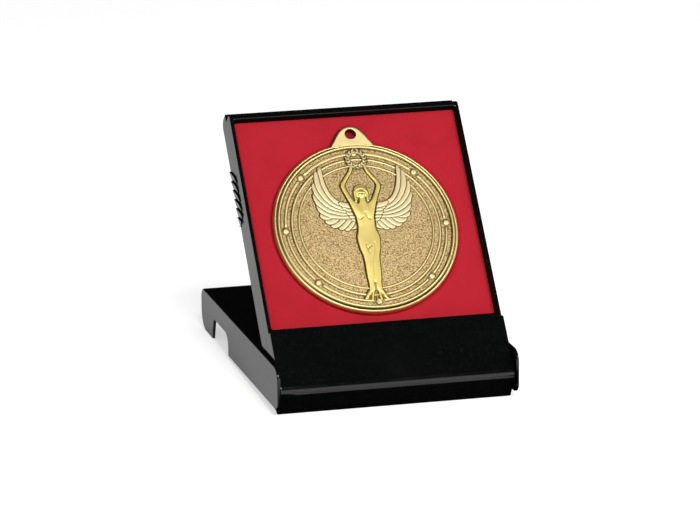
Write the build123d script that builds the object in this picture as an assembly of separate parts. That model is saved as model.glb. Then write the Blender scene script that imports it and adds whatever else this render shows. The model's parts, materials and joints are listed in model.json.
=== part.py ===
from build123d import *
import os
from math import acos, asin, atan2, cos, degrees, hypot, pi, radians, sin, sqrt

os.makedirs("parts", exist_ok=True)

# Every piece is drawn lying as in the closed case: X across, Y from the hinge to the free end, Z towards
# the cover's plate. The cover's zero is its front edge on the rim, the tray's zero is the pivot.

# Closed case, laid out around the medal: borders run from the medal's edge
side_border = 10.6
lower_border = 4.2
upper_border = 12.5
top_bar = 5.6
case_height = 16.0
cover_wall = 1.1
plate_thickness = 2.0
end_wall = 2.4
side_gap = 0.25
face_gap = 0.2
rim_gap = 0.7

# Hinge: stubs on the cover's ears, holes in the tray
pivot_back = 11.5
pivot_height = 8.0
stub_radius = 2.0
stub_length = 2.5
stub_chamfer = 0.4
pin_clearance = 0.05
boss_radius = 4.2
boss_length = 1.2
step_reach = 17.0
swing_gap = 0.2
stop_gap = 0.02

# Cover outline, seen from the side
ear_top_radius = 5.0
ear_foot_radius = 3.5
heel_top_radius = 4.0
heel_foot_radius = 7.5
edge_radius = 0.5

# Finger notches in the cover's side walls
notch_from_end = 21.2
notch_length = 23.7
notch_foot_run = 2.9
notch_depth = 8.5
notch_front_radius = 5.0
notch_end_radius = 1.5

# Snap latch
latch_length = 24.0
latch_radius = 0.9
latch_proud = 0.8
latch_height = 1.6
latch_clearance = 0.1

# Tray outline, seen from the side
frame_wall = 1.3
tray_floor = 1.3
end_gap = 0.6
ledge_drop = 0.4
ledge_gap = 0.15
frame_end_radius = 2.2
lip_edge_radius = 0.5
lip_back_radius = 3.5
crest_back = 8.3
crest_radius = 3.5
toe_back = 11.7
toe_drop = 3.6
toe_width = 1.6
toe_radius = 0.7
tail_reach = 6.0
tray_edge_radius = 0.4

# Hollow behind the name panel
tail_wall = 1.6
tail_side_wall = 1.4
tail_end = 15.2

# Recess of the frame and what carries the insert in it
recess_start = 18.4
recess_corner = 1.0
recess_edge_radius = 0.3
post_width = 1.2
post_depth = 3.0
posts_along = 4
posts_across = 3
ring_radius = 20.0
ring_wall = 1.2

# Insert
insert_depth = 2.4
insert_sheet = 0.8
insert_clearance = 0.1
insert_edge_radius = 0.6
seat_clearance = 0.15

# Medal
medal_radius = 35.0
medal_thickness = 3.4
medal_sunk = 1.2
widest_height = 2.0
back_bevel = 0.5
rim_margin = 0.9
rim_width = 1.1
field_drop = 0.8
band_margin = 4.8
band_width = 0.7
band_drop = 0.35
step_margin = 6.5
step_drop = 1.0
ring_margin = 9.9
ring_width = 0.8
ring_drop = 0.45
dot_margin = 4.4
dot_radius = 1.0
dot_height = 1.0
dot_drop = 0.3
dot_count = 8
loop_beyond = 3.7
loop_radius = 3.3
loop_hole_radius = 2.05
loop_drop = 0.6
loop_foot = 7.5
loop_foot_inside = 1.6
loop_neck = 2.9
loop_neck_beyond = 2.3
loop_waist = 4.4
loop_waist_beyond = 0.6

# Grips that fill the notches when the case is shut: slanting teeth, each highest along its upper wall
grip_margin = 1.0
grip_height = 0.65
grip_root = 0.1
grip_pitch = 3.8
grip_from_end = 20.5
grip_count = 7
knee_run = 5.0
knee_rise = 5.4
hook_run = 3.2
hook_rise = 1.4

overrun = 30.0
nearly = 0.001

# Worked out from the above
case_width = 2 * (medal_radius + side_border)
medal_centre = recess_start + lower_border + medal_radius
recess_end = medal_centre + medal_radius + upper_border
lip_end = recess_end + top_bar
case_length = lip_end + pivot_back
inner_half = case_width / 2 - cover_wall
tray_half = inner_half - side_gap
frame_face = case_height - plate_thickness - face_gap - pivot_height
panel_face = case_height - pivot_height
tray_back = rim_gap - pivot_height
frame_end = lip_end - end_wall - end_gap
step_radius = hypot(step_reach, frame_face)
plate_radius = step_radius + swing_gap
insert_face = frame_face - insert_depth
insert_back = insert_face - insert_sheet
seat_floor = insert_face - medal_sunk
floor_top = tray_back + tray_floor
notch_top_end = case_length - notch_from_end
notch_foot_end = notch_top_end + notch_foot_run
notch_front = notch_top_end - notch_length
grip_first = lip_end - grip_from_end
rim_outer = medal_radius - rim_margin
rim_inner = rim_outer - rim_width
band_radius = medal_radius - band_margin
step_radius_inner = medal_radius - step_margin
ring_middle = medal_radius - ring_margin
dot_ring_radius = medal_radius - dot_margin
loop_reach = medal_radius + loop_beyond
loop_foot_reach = medal_radius - loop_foot_inside
loop_neck_reach = medal_radius + loop_neck_beyond
loop_waist_reach = medal_radius + loop_waist_beyond


def across(outline, half):
    """A side outline drawn as (Y, Z), made into a solid across X."""
    return extrude(Plane.YZ * outline, amount=half, both=True)


def rounded(outline, corner, radius):
    """The outline with the corner nearest to the given point rounded."""
    nearest = outline.vertices().sort_by_distance(Vector(*corner))[0]
    return fillet(nearest, radius)


def bar_across(radius, length):
    """A round bar along X, centred on zero."""
    return Plane.YZ * Cylinder(radius, length)


def block(half, start, end, low, high):
    """A block centred on X between the given ends in Y and Z."""
    middle = Vector(0, (start + end) / 2, (low + high) / 2)
    return Pos(middle) * Box(half * 2, end - start, high - low)


def edges_at(body, height):
    """The edges whose middle lies at the given height."""
    return body.edges().filter_by(lambda edge: abs(edge.center().Z - height) < nearly)


def cover_outline():
    corners = [(0, 0), (case_length, 0), (case_length, case_height), (0, case_height)]
    radii = [ear_foot_radius, heel_foot_radius, heel_top_radius, ear_top_radius]
    outline = make_face(Polyline(*corners, close=True))
    for corner, radius in zip(corners, radii):
        outline = rounded(outline, corner, radius)
    return outline


def notch_outline():
    foot = -overrun
    lean = (notch_foot_end - notch_top_end) / notch_depth
    corners = [
        (notch_front, foot),
        (notch_front, notch_depth),
        (notch_top_end, notch_depth),
        (notch_foot_end - lean * foot, foot),
    ]
    outline = make_face(Polyline(*corners, close=True))
    outline = rounded(outline, corners[1], notch_front_radius)
    return rounded(outline, corners[2], notch_end_radius)


def latch_bar(radius):
    """The latch's bar where it lies in the closed case, in the tray's own place."""
    reach = lip_end - end_wall + latch_radius - latch_proud
    return Pos(0, reach, latch_height) * bar_across(radius, latch_length)


def make_cover():
    body = across(cover_outline(), case_width / 2)
    body = fillet(body.faces().filter_by(Axis.X).edges(), edge_radius)
    pivot = Pos(0, pivot_back, pivot_height)
    inner_end = case_length - end_wall
    wall_foot = pivot_height - ledge_drop + ledge_gap
    under_plate = case_height - plate_thickness
    body -= block(inner_half, -overrun, inner_end, -overrun, under_plate)
    body -= block(inner_half, -overrun, case_length + overrun, -overrun, wall_foot)
    body -= pivot * bar_across(plate_radius, inner_half * 2)
    body -= across(notch_outline(), case_width)
    rooted = stub_length + cover_wall / 2
    stub = Cylinder(stub_radius, rooted)
    stub = chamfer(stub.faces().sort_by(Axis.Z)[-1].edges(), stub_chamfer)
    for side in (-1, 1):
        tip = side * (inner_half - stub_length)
        body += pivot * Pos(tip + side * rooted / 2) * Rot(0, -side * 90, 0) * stub
    bead = pivot * latch_bar(latch_radius)
    body += bead & block(inner_half, 0, case_length, 0, case_height)
    return body


def tray_outline():
    step_top = sqrt(step_radius**2 - panel_face**2)
    middle = (atan2(panel_face, step_top) + atan2(frame_face, step_reach)) / 2
    on_arc = (step_radius * cos(middle), step_radius * sin(middle))
    arc = ThreePointArc((step_top, panel_face), on_arc, (step_reach, frame_face))
    frame_corner = (frame_end, frame_face)
    lip_corner = (lip_end, -ledge_drop)
    back_corner = (lip_end, tray_back)
    toe = (-toe_back, -toe_drop)
    crest = (-crest_back, panel_face)
    rest = Polyline(
        (step_reach, frame_face),
        frame_corner,
        (frame_end, -ledge_drop),
        lip_corner,
        back_corner,
        (-tail_reach, tray_back),
        (toe_width - toe_back, -toe_drop),
        toe,
        crest,
        (step_top, panel_face),
    )
    outline = make_face([arc, *rest.edges()])
    outline = rounded(outline, frame_corner, frame_end_radius)
    outline = rounded(outline, lip_corner, lip_edge_radius)
    outline = rounded(outline, back_corner, lip_back_radius)
    outline = rounded(outline, toe, toe_radius)
    return rounded(outline, crest, crest_radius)


def tail_hollow_outline():
    lean = atan2(toe_back - crest_back, panel_face + toe_drop)
    ceiling = panel_face - tail_wall
    # The end wall's inner face, parallel to its outer face
    inner_foot = tail_wall / cos(lean) - toe_back
    slope = (toe_back - crest_back) / (panel_face + toe_drop)
    at_ceiling = (inner_foot + (ceiling + toe_drop) * slope, ceiling)
    at_foot = (inner_foot - (overrun - toe_drop) * slope, -overrun)
    corners = [(tail_end, -overrun), (tail_end, ceiling), at_ceiling, at_foot]
    outline = make_face(Polyline(*corners, close=True))
    return rounded(outline, at_ceiling, crest_radius - tail_wall)


def pivot_bosses():
    inner = tray_half - tail_side_wall
    one = bar_across(boss_radius, boss_length)
    return [Pos(side * (inner - boss_length / 2), 0, 0) * one for side in (-1, 1)]


def recess():
    length = recess_end - recess_start
    width = (tray_half - frame_wall) * 2
    plan = RectangleRounded(width, length, recess_corner)
    return Pos(0, (recess_start + recess_end) / 2, floor_top) * extrude(plan, amount=overrun)


def insert_posts():
    """Upright ribs on the recess's walls, with the insert's edge on their tops."""
    inner = tray_half - frame_wall
    height = insert_back - floor_top
    centre = floor_top + height / 2
    step = (recess_end - recess_start) / (posts_along + 1)
    posts = []
    for index in range(posts_along):
        along = recess_start + step * (index + 1)
        for side in (-1, 1):
            post = Box(post_depth, post_width, height)
            posts.append(Pos(side * (inner - post_depth / 2), along, centre) * post)
    step = inner * 2 / (posts_across + 1)
    for index in range(posts_across):
        out = step * (index + 1) - inner
        for wall, turn in ((recess_start, 1), (recess_end, -1)):
            post = Box(post_width, post_depth, height)
            posts.append(Pos(out, wall + turn * post_depth / 2, centre) * post)
    return posts


def seat_ring():
    """A round rib on the tray's floor that carries the medal's seat."""
    height = seat_floor - insert_sheet - floor_top
    tube = Cylinder(ring_radius, height) - Cylinder(ring_radius - ring_wall, height)
    return Pos(0, medal_centre, floor_top + height / 2) * tube


def tooth_outline():
    """The first grip tooth in plan, from its own wall with the hooked end to the next tooth's wall."""
    foot = (grip_first, tray_back)
    knee = (grip_first - knee_run, tray_back + knee_rise)
    hook = (knee[0] - hook_run, knee[1] + hook_rise)
    next_knee = (knee[0] - grip_pitch, knee[1])
    next_foot = (foot[0] - grip_pitch, foot[1])
    return make_face(Polyline(foot, knee, hook, next_knee, next_foot, close=True))


def tooth_wedge():
    """A long bar along the tooth's wall: highest at the wall, almost flush where the next tooth starts."""
    slant = hypot(knee_run, knee_rise)
    along = Vector(0, -knee_run / slant, knee_rise / slant)
    spacing = grip_pitch * knee_rise / slant
    sunk = frame_wall / 2
    section = [(-sunk, 0), (grip_height, 0), (grip_root, -spacing), (-sunk, -spacing)]
    start = Plane(origin=(tray_half, grip_first, tray_back), x_dir=(1, 0, 0), z_dir=along)
    return extrude(start * make_face(Polyline(*section, close=True)), amount=overrun, both=True)


def grips():
    """The grip teeth of one side, proud of the tray's wall at +X."""
    tooth = tooth_wedge() & across(tooth_outline(), case_width)
    row = [Pos(0, -grip_pitch * index, 0) * tooth for index in range(grip_count)]
    notch = Pos(-pivot_back, -pivot_height) * notch_outline()
    room = across(offset(notch, -grip_margin), case_width)
    room -= block(case_width, 0, case_length, -overrun, tray_back + tray_edge_radius)
    return [tooth & room for tooth in row]


def make_tray():
    body = across(tray_outline(), tray_half)
    sides = body.faces().filter_by(Axis.X).edges()
    body = fillet(sides, tray_edge_radius)
    body -= across(tail_hollow_outline(), tray_half - tail_side_wall)
    body += pivot_bosses()
    body -= bar_across(stub_radius + pin_clearance, case_width)
    body -= recess()
    inside_half = tray_half - frame_wall + nearly
    inside = edges_at(body, frame_face).filter_by_position(Axis.X, -inside_half, inside_half)
    inside = inside.filter_by_position(Axis.Y, recess_start - nearly, recess_end + nearly)
    body = fillet(inside, recess_edge_radius)
    body += insert_posts()
    body += seat_ring()
    body -= latch_bar(latch_radius + latch_clearance)
    one_side = grips()
    body += one_side
    body += [mirror(tooth, Plane.YZ) for tooth in one_side]
    return body


def loop_outline(grown):
    """The loop of the medal in plan, centred on the medal, grown by the given margin."""
    foot = (loop_foot + grown, loop_foot_reach)
    waist = (loop_waist + grown, loop_waist_reach + grown / 2)
    neck = (loop_neck + grown, loop_neck_reach + grown / 2)
    left = [(-x, y) for x, y in (foot, waist, neck)]
    sides = [
        Line(left[0], foot),
        ThreePointArc(foot, waist, neck),
        Line(neck, left[2]),
        ThreePointArc(left[2], left[1], left[0]),
    ]
    return make_face(sides) + Pos(0, loop_reach) * Circle(loop_radius + grown)


def medal_profile():
    """Half of the medal's section, from the axis out to the widest edge and back."""
    top = medal_thickness
    field = top - field_drop
    inner_field = top - step_drop
    points = [(0, 0), (medal_radius - back_bevel, 0), (medal_radius, back_bevel)]
    points += [(medal_radius, widest_height), (rim_outer, top), (rim_inner, top), (rim_inner, field)]
    points += [(step_radius_inner, field), (step_radius_inner, inner_field), (0, inner_field)]
    return make_face(Polyline(*points, close=True))


def raised_ring(radius, width, top):
    ring = Circle(radius + width / 2) - Circle(radius - width / 2)
    base = medal_thickness - step_drop - field_drop
    return Pos(0, 0, base) * extrude(ring, amount=top - base)


def make_medal():
    body = revolve(Plane.XZ * medal_profile(), axis=Axis.Z)
    body += raised_ring(band_radius, band_width, medal_thickness - band_drop)
    body += raised_ring(ring_middle, ring_width, medal_thickness - ring_drop)
    dot = Cylinder(dot_radius, dot_height)
    dot_middle = medal_thickness - dot_drop - dot_height / 2
    for index in range(dot_count):
        turn = 2 * pi * index / dot_count
        body += Pos(dot_ring_radius * sin(turn), dot_ring_radius * cos(turn), dot_middle) * dot
    loop = extrude(loop_outline(0), amount=medal_thickness - loop_drop)
    inside = Cylinder(medal_radius - back_bevel, overrun)
    body += loop - inside
    body -= Pos(0, loop_reach) * Cylinder(loop_hole_radius, overrun)
    return body


def make_insert():
    half = tray_half - frame_wall - insert_clearance
    start = recess_start + insert_clearance
    end = recess_end - insert_clearance
    middle = (start + end) / 2
    plan = RectangleRounded(half * 2, end - start, recess_corner - insert_clearance)
    sheet = Pos(0, middle, insert_back) * extrude(plan, amount=insert_sheet)
    sheet = fillet(edges_at(sheet, insert_face), insert_edge_radius)
    cup_depth = medal_sunk + insert_sheet
    seat = Circle(medal_radius + seat_clearance) + loop_outline(seat_clearance)
    around = seat_clearance + insert_sheet
    cup = Circle(medal_radius + around) + loop_outline(around)
    cup_floor = Pos(0, medal_centre, insert_face - cup_depth)
    sheet += cup_floor * extrude(cup, amount=cup_depth)
    sheet -= Pos(0, medal_centre, seat_floor) * extrude(seat, amount=overrun)
    return sheet


def display_turn():
    """The angle between plate and tray where the tray's back leans on the plate's front edge."""
    edge_back = sqrt(plate_radius**2 - panel_face**2)
    lean = acos((tray_back - stop_gap) / plate_radius)
    return degrees(lean - atan2(edge_back, panel_face))


def toe_centre():
    """Centre of the toe's rounding in the tray's own place."""
    lean = atan2(toe_back - crest_back, panel_face + toe_drop)
    out = toe_radius * (1 + sin(lean)) / cos(lean)
    return out - toe_back, toe_radius - toe_drop


def cover_pitch(turn):
    """How far the cover tips down at the back, on its heel and the tray's toe."""
    toe_y, toe_z = toe_centre()
    slant = radians(turn)
    front_y = pivot_back + toe_y * cos(slant) - toe_z * sin(slant)
    front_z = pivot_height + toe_y * sin(slant) + toe_z * cos(slant)
    rise = heel_foot_radius - front_z
    run = case_length - heel_foot_radius - front_y
    return degrees(atan2(rise, run) - asin((heel_foot_radius - toe_radius) / hypot(rise, run)))


turn = display_turn()
pitch = cover_pitch(turn)
medal_place = Pos(0, medal_centre, seat_floor)
in_case = Pos(0, pivot_back, pivot_height) * Rot(turn, 0, 0)
on_table = Rot(-pitch, 0, 0)

cover = on_table * make_cover()
tray = on_table * in_case * make_tray()
insert = on_table * in_case * make_insert()
medal = on_table * in_case * medal_place * make_medal()

# The origin is on the table, in the middle of the standing case
pieces = {"cover": cover, "tray": tray, "insert": insert, "medal": medal}
extent = Compound(list(pieces.values())).bounding_box()
to_origin = Pos(0, -(extent.min.Y + extent.max.Y) / 2, -extent.min.Z)
for name, piece in pieces.items():
    export_step(to_origin * piece, f"parts/{name}.step")
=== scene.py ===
import json
import bpy
import numpy as np
from math import cos, pi, radians, sin
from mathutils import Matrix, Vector


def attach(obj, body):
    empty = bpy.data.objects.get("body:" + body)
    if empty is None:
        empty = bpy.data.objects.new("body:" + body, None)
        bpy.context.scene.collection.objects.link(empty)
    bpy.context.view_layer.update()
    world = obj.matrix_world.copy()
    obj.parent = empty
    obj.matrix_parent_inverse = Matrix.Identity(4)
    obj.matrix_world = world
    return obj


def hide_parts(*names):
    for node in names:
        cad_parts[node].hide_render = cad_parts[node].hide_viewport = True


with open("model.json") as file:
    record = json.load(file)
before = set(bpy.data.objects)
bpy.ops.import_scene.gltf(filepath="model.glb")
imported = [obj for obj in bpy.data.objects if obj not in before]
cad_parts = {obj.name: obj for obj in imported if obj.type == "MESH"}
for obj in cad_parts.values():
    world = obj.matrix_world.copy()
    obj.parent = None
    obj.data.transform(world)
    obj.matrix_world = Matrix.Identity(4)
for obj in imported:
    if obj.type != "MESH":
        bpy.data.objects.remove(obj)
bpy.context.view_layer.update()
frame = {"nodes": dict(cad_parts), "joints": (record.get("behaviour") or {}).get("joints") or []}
print("frame loaded:", sorted(frame["nodes"]))

# The tray's own directions in the frame: t runs up from the hinge along its back, n stands out of its face
hinge = next(joint for joint in frame["joints"] if joint["name"] == "tray_hinge")
hingePlace = np.array(hinge["pos_m"])
trayLean = radians(48.4157)
millimetre = 0.001


def onTray(x, t, n):
    # y = t cos(lean) - n sin(lean) and z = t sin(lean) + n cos(lean), both from the hinge, x stays
    x, t, n = np.broadcast_arrays(x, t, n)
    y = t * cos(trayLean) - n * sin(trayLean)
    z = t * sin(trayLean) + n * cos(trayLean)
    return np.stack([x, y, z], axis=-1).reshape(-1, 3) * millimetre + hingePlace


def linear(hexColour):
    # each channel: below 0.04045 divided by 12.92, above it ((c + 0.055) / 1.055) to the power 2.4
    parts = [int(hexColour[i:i + 2], 16) / 255 for i in (1, 3, 5)]
    return [c / 12.92 if c <= 0.04045 else ((c + 0.055) / 1.055) ** 2.4 for c in parts] + [1.0]


def addNode(tree, kind, inputs=None, **settings):
    # one shader node, its settings, and its inputs as plain values or as the sockets that feed them
    node = tree.nodes.new("ShaderNode" + kind)
    for key, value in settings.items():
        setattr(node, key, value)
    for key, value in (inputs or {}).items():
        if isinstance(value, bpy.types.NodeSocket):
            tree.links.new(value, node.inputs[key])
        else:
            node.inputs[key].default_value = value
    return node


def perMetre(size):
    # the scale of a pattern from its size in millimetres
    return 1 / (size * millimetre)


def newMaterial(name):
    material = bpy.data.materials.new(name)
    material.use_nodes = True
    material.node_tree.nodes.clear()
    return material, material.node_tree


def finishMaterial(tree, inputs):
    shader = addNode(tree, "BsdfPrincipled", inputs)
    addNode(tree, "OutputMaterial", {"Surface": shader.outputs["BSDF"]})
    return shader


def colourRamp(tree, factor, places, colours):
    # two colours and where they stand
    ramp = addNode(tree, "ValToRGB", {"Fac": factor})
    for element, place, colour in zip(ramp.color_ramp.elements, places, colours):
        element.position, element.color = place, linear(colour)
    return ramp


# Polystyrene, injection moulded in a polished tool: deep gloss with a faint orange peel,
# fine dust specks, and a rub here and there that dulls it
plasticLook = {
    "base": "#070908", "dusty": "#343A38", "matt": "#050606", "ior": 1.59,
    "gloss": 0.07, "rubbed": 0.13, "mattRough": 0.6, "mattSpecular": 0.08,
    "rubScale": 60.0, "rubRange": (0.35, 0.75), "dustRange": (0.62, 0.70),  # ranges are shares of the noise
    "peelSize": 2.6, "peelHeight": 0.004, "speckSize": 0.3, "speckHeight": 0.004,  # millimetres
    # the tray's recess, whose walls the tool leaves matt: half width, lower and upper end, top, floor
    "recess": (43.2, 18.2, 105.3, 5.6, 0.5),
}


def insideRecess(tree, place, look):
    # 1 where |x| is under the half width, t lies between the two ends and n between the floor and the top
    half, start, end, top, floor = look["recess"]
    fromHinge = addNode(tree, "VectorMath", {0: place, 1: hingePlace.tolist()}, operation="SUBTRACT")
    away = fromHinge.outputs["Vector"]
    side = addNode(tree, "SeparateXYZ", {0: away}).outputs["X"]
    across = addNode(tree, "Math", {0: side}, operation="ABSOLUTE").outputs["Value"]
    t, n = (addNode(tree, "VectorMath", {0: away, 1: axis}, operation="DOT_PRODUCT").outputs["Value"]
            for axis in ((0, cos(trayLean), sin(trayLean)), (0, -sin(trayLean), cos(trayLean))))
    mask = 1.0
    for value, test, limit in ((across, "LESS_THAN", half), (t, "GREATER_THAN", start), (t, "LESS_THAN", end),
                               (n, "LESS_THAN", top), (n, "GREATER_THAN", floor)):
        passed = addNode(tree, "Math", {0: value, 1: limit * millimetre}, operation=test)
        mask = addNode(tree, "Math", {0: passed.outputs["Value"], 1: mask},
                       operation="MULTIPLY").outputs["Value"]
    return mask


def makePlastic(name, look, withRecess):
    material, tree = newMaterial(name)
    place = addNode(tree, "TexCoord").outputs["Object"]
    peel = addNode(tree, "TexNoise", {"Vector": place, "Scale": perMetre(look["peelSize"]), "Detail": 1.0})
    speck = addNode(tree, "TexNoise",
                    {"Vector": place, "Scale": perMetre(look["speckSize"]), "Detail": 3.0, "Roughness": 0.65})
    rub = addNode(tree, "TexNoise",
                  {"Vector": place, "Scale": look["rubScale"], "Detail": 4.0, "Distortion": 0.8})
    dust = colourRamp(tree, speck.outputs["Fac"], look["dustRange"], (look["base"], look["dusty"]))
    least, most = look["rubRange"]
    gloss = addNode(tree, "MapRange", {"Value": rub.outputs["Fac"], "From Min": least, "From Max": most,
                                       "To Min": look["gloss"], "To Max": look["rubbed"]})
    peelBump = addNode(tree, "Bump", {"Height": peel.outputs["Fac"], "Strength": 1.0,
                                      "Distance": look["peelHeight"] * millimetre})
    speckBump = addNode(tree, "Bump", {"Height": speck.outputs["Fac"], "Strength": 1.0,
                                       "Distance": look["speckHeight"] * millimetre,
                                       "Normal": peelBump.outputs["Normal"]})
    polished = {"Base Color": dust.outputs["Color"], "Roughness": gloss.outputs["Result"],
                "IOR": look["ior"], "Normal": speckBump.outputs["Normal"]}
    if not withRecess:
        finishMaterial(tree, polished)
        return material
    glossy = addNode(tree, "BsdfPrincipled", polished)
    matt = addNode(tree, "BsdfPrincipled",
                   {"Base Color": linear(look["matt"]), "Roughness": look["mattRough"],
                    "Specular IOR Level": look["mattSpecular"], "Normal": speckBump.outputs["Normal"]})
    both = addNode(tree, "MixShader", {"Fac": insideRecess(tree, place, look), 1: glossy.outputs["BSDF"],
                                       2: matt.outputs["BSDF"]})
    addNode(tree, "OutputMaterial", {"Surface": both.outputs["Shader"]})
    return material


# Flock: short nylon fibres shot into glue on a formed sheet. It looks like velvet: no gloss,
# a soft pale edge where the fibres stand side on, and a faint cloudiness where the nap leans
flockLook = {
    "base": "#B4202E", "shaded": "#9E1826", "sheen": "#E08A90", "toneRange": (0.35, 1.0),
    "rough": 0.95, "sheenWeight": 0.12, "sheenRough": 0.4, "specular": 0.15,
    "fibreSize": 0.35, "fibreHeight": 0.09, "napSize": 14.0,  # millimetres
}


def makeFlock(look):
    material, tree = newMaterial("redNylonFlock")
    place = addNode(tree, "TexCoord").outputs["Object"]
    fibre = addNode(tree, "TexNoise",
                    {"Vector": place, "Scale": perMetre(look["fibreSize"]), "Detail": 2.0, "Roughness": 0.7})
    nap = addNode(tree, "TexNoise", {"Vector": place, "Scale": perMetre(look["napSize"]), "Detail": 3.0})
    lean = addNode(tree, "Math", {0: nap.outputs["Fac"], 1: fibre.outputs["Fac"]}, operation="ADD")
    tone = colourRamp(tree, lean.outputs["Value"], look["toneRange"], (look["shaded"], look["base"]))
    bump = addNode(tree, "Bump", {"Height": fibre.outputs["Fac"], "Strength": 0.7,
                                  "Distance": look["fibreHeight"] * millimetre})
    finishMaterial(tree, {"Base Color": tone.outputs["Color"], "Roughness": look["rough"],
                          "Sheen Weight": look["sheenWeight"], "Sheen Roughness": look["sheenRough"],
                          "Sheen Tint": linear(look["sheen"]), "Specular IOR Level": look["specular"],
                          "Normal": bump.outputs["Normal"]})
    return material


# Gold plate on die-cast zinc: satin on the raised parts, sand-stippled in the fields, with painted shade,
# a dark ochre along every edge and crease that draws the outlines
goldLook = {
    # the darkest colour here is painted shade for outlines and creases
    "pale": "#F3DFAF", "warm": "#F3DB86", "field": "#DBC291", "pit": "#7F6232", "paintedShade": "#211703",
    "satinRough": 0.44, "fieldRough": 0.52, "wearScale": 420.0, "wearSpread": 0.03,
    "grainRange": (0.36, 0.59), "grainOnRaised": 0.03,  # shares of the noise and of the grain's height
    "grainSize": 0.5, "grainHeight": 0.055,  # millimetres, a fine sandblast
}


def makeGold(look):
    # attributes: polish says how bright a place is rubbed, the painted shade how dark a place is painted
    # along outlines and in creases, and warm how yellow it is; the field's grain fades where the metal is
    # rubbed
    material, tree = newMaterial("goldPlatedCasting")
    place = addNode(tree, "TexCoord").outputs["Object"]
    polish, paintedShade, warm = (addNode(tree, "Attribute", attribute_name=name).outputs["Fac"]
                            for name in ("polish", "paintedShade", "warm"))
    grain = addNode(tree, "TexNoise",
                    {"Vector": place, "Scale": perMetre(look["grainSize"]), "Detail": 2.0, "Roughness": 0.6})
    wear = addNode(tree, "TexNoise", {"Vector": place, "Scale": look["wearScale"], "Detail": 3.0})
    stipple = addNode(tree, "MapRange", {"Value": polish, "To Min": 1.0, "To Max": look["grainOnRaised"]})
    depth = addNode(tree, "Math", {0: grain.outputs["Fac"], 1: stipple.outputs["Result"]},
                    operation="MULTIPLY")
    fieldTone = colourRamp(tree, grain.outputs["Fac"], look["grainRange"], (look["pit"], look["field"]))
    raisedTone = addNode(tree, "Mix",
                         {"Factor": warm, 6: linear(look["pale"]), 7: linear(look["warm"])}, data_type="RGBA")
    tone = addNode(tree, "Mix", {"Factor": polish, 6: fieldTone.outputs["Color"],
                                 7: raisedTone.outputs[2]}, data_type="RGBA")
    # painted shade: the colour darkens towards dark ochre along outlines and in creases
    withPaintedShade = addNode(tree, "Mix", {"Factor": paintedShade, 6: tone.outputs[2], 7: linear(look["paintedShade"])},
                      data_type="RGBA")
    rough = addNode(tree, "MapRange", {"Value": polish, "To Min": look["fieldRough"],
                                       "To Max": look["satinRough"]})
    worn = addNode(tree, "MapRange", {"Value": wear.outputs["Fac"], "From Min": 0.3, "From Max": 0.7,
                                      "To Min": -look["wearSpread"], "To Max": look["wearSpread"]})
    dulled = addNode(tree, "Math", {0: rough.outputs["Result"], 1: worn.outputs["Result"]})
    bump = addNode(tree, "Bump", {"Height": depth.outputs["Value"], "Strength": 1.0,
                                  "Distance": look["grainHeight"] * millimetre})
    finishMaterial(tree, {"Base Color": withPaintedShade.outputs[2], "Metallic": 1.0,
                          "Roughness": dulled.outputs["Value"], "Normal": bump.outputs["Normal"]})
    return material


plastic = {"cover": makePlastic("mouldedBlackPolystyrene", plasticLook, False),
           "tray": makePlastic("mouldedBlackPolystyreneTray", plasticLook, True)}
flock = makeFlock(flockLook)
gold = makeGold(goldLook)
print("materials made")


def wrappedQuads(rows, columns, rowWraps=False):
    # quads between neighbouring rows, with the last column joined to the first; the row order goes outwards
    row = np.arange(rows if rowWraps else rows - 1)[:, None]
    column = np.arange(columns)[None, :]
    nextRow, nextColumn = (row + 1) % rows, (column + 1) % columns
    quads = [row * columns + column, nextRow * columns + column,
             nextRow * columns + nextColumn, row * columns + nextColumn]
    return np.stack(quads, axis=-1).reshape(-1, 4)


def makePiece(name, points, faces, material, body, nodeNames=(), attributes=None, poles=()):
    # poles are (pole index, ring start, ring length, turn): a fan of triangles that closes a ring
    triangles = []
    for pole, start, count, turn in poles:
        ring = start + np.arange(count)
        after = start + (np.arange(count) + 1) % count
        pair = (ring, after) if turn > 0 else (after, ring)
        triangles += np.stack([np.full(count, pole), *pair], axis=-1).tolist()
    mesh = bpy.data.meshes.new(name)
    mesh.from_pydata(points.tolist(), [], faces.tolist() + triangles)
    mesh.polygons.foreach_set("use_smooth", np.ones(len(mesh.polygons), bool))
    for key, values in (attributes or {}).items():
        mesh.attributes.new(key, "FLOAT", "POINT").data.foreach_set("value", values.astype(np.float32))
    mesh.update()
    piece = bpy.data.objects.new(name, mesh)
    bpy.context.scene.collection.objects.link(piece)
    mesh.materials.append(material)
    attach(piece, body)
    if nodeNames:
        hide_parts(*nodeNames)
    print(name, len(mesh.polygons), "faces")
    return piece


def smoothStep(low, high, value):
    # 3 s^2 - 2 s^3, with s the share of the way from low to high
    s = np.clip((value - low) / (high - low), 0, 1)
    return s * s * (3 - 2 * s)


def bell(value, middle, width):
    # exp(-((value - middle) / width)^2)
    return np.exp(-((value - middle) / width) ** 2)


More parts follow.
